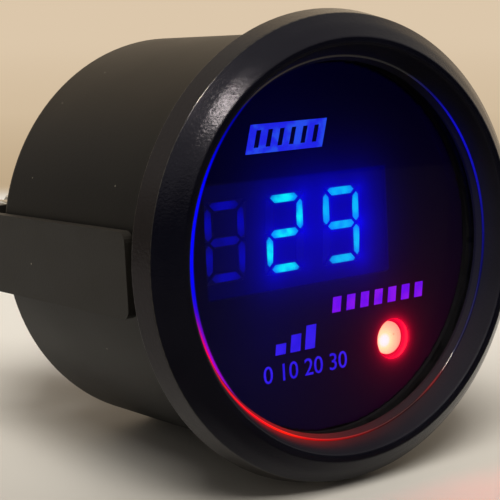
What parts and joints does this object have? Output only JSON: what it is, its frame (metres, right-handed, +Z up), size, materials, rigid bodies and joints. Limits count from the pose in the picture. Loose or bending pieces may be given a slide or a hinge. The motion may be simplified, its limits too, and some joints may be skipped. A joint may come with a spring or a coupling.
{
  "type": "digital boost gauge",
  "caption": "Round panel gauge with a lit three-figure display and warning lamp in a deep case, with a rear hose nipple and a U bracket clamped by two thumb nuts.",
  "frame": {"origin": "on the gauge's axis, in the plane of the bezel's rear face, which seats on the panel", "axes": "+Y along the gauge's axis to the rear, so the face looks to -Y; +Z up; +X to the right as seen from the front"},
  "size_m": [0.0574, 0.065, 0.0574],
  "materials": {
    "case_plastic": "satin",
    "bezel_plastic": "satin",
    "smoked_acrylic": "gloss",
    "black_rubber": "matte",
    "printed_film": "satin",
    "white_plastic": "matte",
    "dark_moulding": "matte",
    "display_moulding": "satin",
    "lit_blue": "gloss",
    "unlit_blue": "gloss",
    "tinned_steel": "satin",
    "lamp_red": "gloss",
    "green_board": "satin",
    "chip_black": "matte",
    "brass": "satin",
    "zinc_steel": "satin",
    "capacitor_can": "satin",
    "ceramic_chip": "matte",
    "silicone": "satin",
    "nylon": "satin",
    "black_painted_steel": "satin",
    "nickel_steel": "satin"
  },
  "bodies": {
    "case": {"case": "case_plastic", "bezel_ring": "bezel_plastic", "window": "smoked_acrylic", "window_gasket": "black_rubber", "face_plate": "printed_film", "legend_diffuser": "white_plastic", "light_box": "dark_moulding", "display_housing": "display_moulding", "lit_segments": "lit_blue", "unlit_segments": "unlit_blue", "display_pins": "tinned_steel", "warning_lamp": "lamp_red", "lamp_leads": "tinned_steel", "legend_lamps": "white_plastic", "display_board": "green_board", "display_driver": "chip_black", "header_housing": "chip_black", "header_pins": "brass", "board_spacers": "brass", "board_screws": "zinc_steel", "main_board": "green_board", "controller_chip": "chip_black", "voltage_regulator": "chip_black", "filter_capacitors": "capacitor_can", "chip_parts": "ceramic_chip", "pressure_sensor": "chip_black", "sensor_tube": "silicone", "hose_nipple": "brass", "nipple_nut": "brass", "nipple_seal": "black_rubber", "wire_grommet": "black_rubber", "wire_header": "nylon", "mounting_studs": "zinc_steel"},
    "bracket": {"bracket": "black_painted_steel", "flat_washers": "zinc_steel", "lock_washers": "zinc_steel"},
    "nut_left": {"thumb_nut_left": "nickel_steel"},
    "nut_right": {"thumb_nut_right": "nickel_steel"}
  },
  "joints": [
    {"name": "nut_left_turn", "type": "hinge", "parent": "bracket", "child": "nut_left", "pos_m": [-0.015, 0.0485, 0], "axis": [0, 1, 0], "range_deg": [0, 3600]},
    {"name": "nut_right_turn", "type": "hinge", "parent": "bracket", "child": "nut_right", "pos_m": [0.015, 0.0485, 0], "axis": [0, 1, 0], "range_deg": [0, 3600]},
    {"name": "bracket_slide", "type": "slide", "parent": "case", "child": "bracket", "axis": [0, 1, 0], "range_m": [0, 0.007]}
  ],
  "couplings": [
    {"joint": "nut_left_turn", "follows": "bracket_slide", "rad_per_m": 8975.9},
    {"joint": "nut_right_turn", "follows": "bracket_slide", "rad_per_m": 8975.9}
  ]
}
